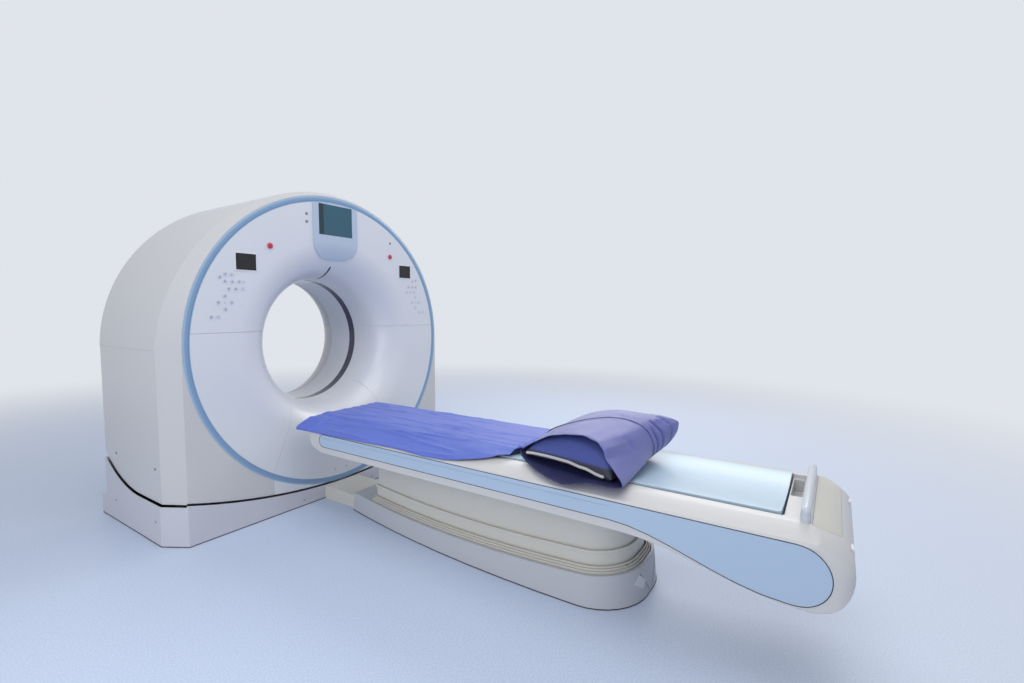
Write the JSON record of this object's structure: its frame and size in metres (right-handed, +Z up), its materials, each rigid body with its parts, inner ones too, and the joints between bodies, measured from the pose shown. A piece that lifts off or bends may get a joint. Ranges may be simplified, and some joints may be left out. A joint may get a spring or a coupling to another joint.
{
  "type": "ct scanner",
  "caption": "CT scanner with a tilting ring gantry on a low plinth and a height-adjustable patient couch with a sliding tabletop.",
  "frame": {"origin": "on the floor, straight below the centre of the bore in the scan plane", "axes": "+X across to the right seen from the couch, +Y along the bore out of the back of the gantry, +Z up"},
  "size_m": [1.91, 3.516, 1.855],
  "materials": {
    "frame_steel": "satin",
    "machined_steel": "satin",
    "drive_black": "satin",
    "cover_white": "satin gloss",
    "cover_grey": "satin",
    "plinth_grey": "satin",
    "trim_blue": "satin",
    "window_violet": "gloss",
    "slit_black": "gloss",
    "bezel_blue": "satin",
    "screen_teal": "gloss",
    "display_black": "gloss",
    "key_grey": "matte",
    "lamp_grey": "gloss",
    "switch_grey": "satin",
    "stop_red": "gloss",
    "winding_copper": "satin",
    "track_brass": "satin",
    "unit_grey": "satin",
    "pedestal_cream": "satin",
    "couch_white": "satin",
    "inset_blue": "satin",
    "handle_white": "gloss",
    "tabletop_shell": "satin",
    "mattress_cover": "soft",
    "sheet_cloth": "soft",
    "pillow_cloth": "soft sheen"
  },
  "bodies": {
    "root": {"base_frame": "frame_steel", "plinth_cover": "plinth_grey", "stand_left": "frame_steel", "stand_right": "frame_steel", "tilt_drive": "drive_black", "pedestal_plate": "frame_steel", "pedestal_base": "pedestal_cream", "pedestal_neck": "pedestal_cream", "column_lower": "machined_steel"},
    "gantry": {"tilt_frame": "frame_steel", "cover_brackets": "machined_steel", "bearing_outer": "machined_steel", "drive_stator": "winding_copper", "slip_ring_brush": "drive_black", "front_cover_upper": "cover_white", "front_cover_left": "cover_white", "front_cover_right": "cover_white", "front_panel_center": "cover_white", "accent_ring": "trim_blue", "side_cover_left": "cover_grey", "side_cover_right": "cover_grey", "rear_cover_upper": "cover_grey", "rear_cover_lower": "cover_grey", "bore_liner": "cover_white", "scan_window": "window_violet", "monitor_bezel": "bezel_blue", "monitor_screen": "screen_teal", "side_displays": "display_black", "keypads": "key_grey", "status_lamps": "lamp_grey", "laser_window": "slit_black", "stop_switches": "switch_grey"},
    "rotor": {"rotor_plate": "machined_steel", "xray_tube": "unit_grey", "collimator": "unit_grey", "detector_arc": "unit_grey", "hv_generator": "unit_grey", "cooling_unit": "unit_grey", "slip_ring": "track_brass"},
    "stop_left": {"stop_button_left": "stop_red"},
    "stop_right": {"stop_button_right": "stop_red"},
    "column_mid": {"column_middle": "machined_steel", "lift_cylinder": "drive_black"},
    "telescope_1": {"stage_1": "pedestal_cream"},
    "telescope_2": {"stage_2": "pedestal_cream"},
    "telescope_3": {"stage_3": "pedestal_cream"},
    "telescope_4": {"stage_4": "pedestal_cream"},
    "couch": {"column_upper": "machined_steel", "lift_ram": "machined_steel", "top_stage": "pedestal_cream", "couch_frame": "couch_white", "side_inset_left": "inset_blue", "side_inset_right": "inset_blue", "tail_cap": "couch_white", "slide_rails": "machined_steel", "end_handle": "handle_white"},
    "patient_top": {"tabletop": "tabletop_shell", "mattress": "mattress_cover", "sheet": "sheet_cloth", "pillow": "pillow_cloth"}
  },
  "joints": [
    {"name": "gantry_tilt", "type": "hinge", "parent": "root", "child": "gantry", "pos_m": [0, 0, 0.955], "axis": [1, 0, 0], "range_deg": [-12, 30]},
    {"name": "rotor_spin", "type": "hinge", "parent": "gantry", "child": "rotor", "pos_m": [0, 0, 0.955], "axis": [0, 1, 0], "continuous": true},
    {"name": "stop_left_press", "type": "slide", "parent": "gantry", "child": "stop_left", "axis": [0, 1, 0], "range_m": [0, 0.004], "stiffness_N_per_m": 1500},
    {"name": "stop_right_press", "type": "slide", "parent": "gantry", "child": "stop_right", "axis": [0, 1, 0], "range_m": [0, 0.004], "stiffness_N_per_m": 1500},
    {"name": "couch_lift", "type": "slide", "parent": "root", "child": "couch", "axis": [0, 0, 1], "range_m": [0, 0.38]},
    {"name": "column_lift", "type": "slide", "parent": "root", "child": "column_mid", "axis": [0, 0, 1], "range_m": [0, 0.19]},
    {"name": "telescope_1_lift", "type": "slide", "parent": "root", "child": "telescope_1", "axis": [0, 0, 1], "range_m": [0, 0.0411]},
    {"name": "telescope_2_lift", "type": "slide", "parent": "root", "child": "telescope_2", "axis": [0, 0, 1], "range_m": [0, 0.0939]},
    {"name": "telescope_3_lift", "type": "slide", "parent": "root", "child": "telescope_3", "axis": [0, 0, 1], "range_m": [0, 0.1581]},
    {"name": "telescope_4_lift", "type": "slide", "parent": "root", "child": "telescope_4", "axis": [0, 0, 1], "range_m": [0, 0.2319]},
    {"name": "tabletop_slide", "type": "slide", "parent": "couch", "child": "patient_top", "axis": [0, 1, 0], "range_m": [0, 0.57]}
  ],
  "couplings": [
    {"joint": "column_lift", "follows": "couch_lift", "ratio": 0.5},
    {"joint": "telescope_1_lift", "follows": "couch_lift", "ratio": 0.108},
    {"joint": "telescope_2_lift", "follows": "couch_lift", "ratio": 0.247},
    {"joint": "telescope_3_lift", "follows": "couch_lift", "ratio": 0.416},
    {"joint": "telescope_4_lift", "follows": "couch_lift", "ratio": 0.61},
    {"joint": "tabletop_slide", "follows": "couch_lift", "ratio": 1.5}
  ]
}
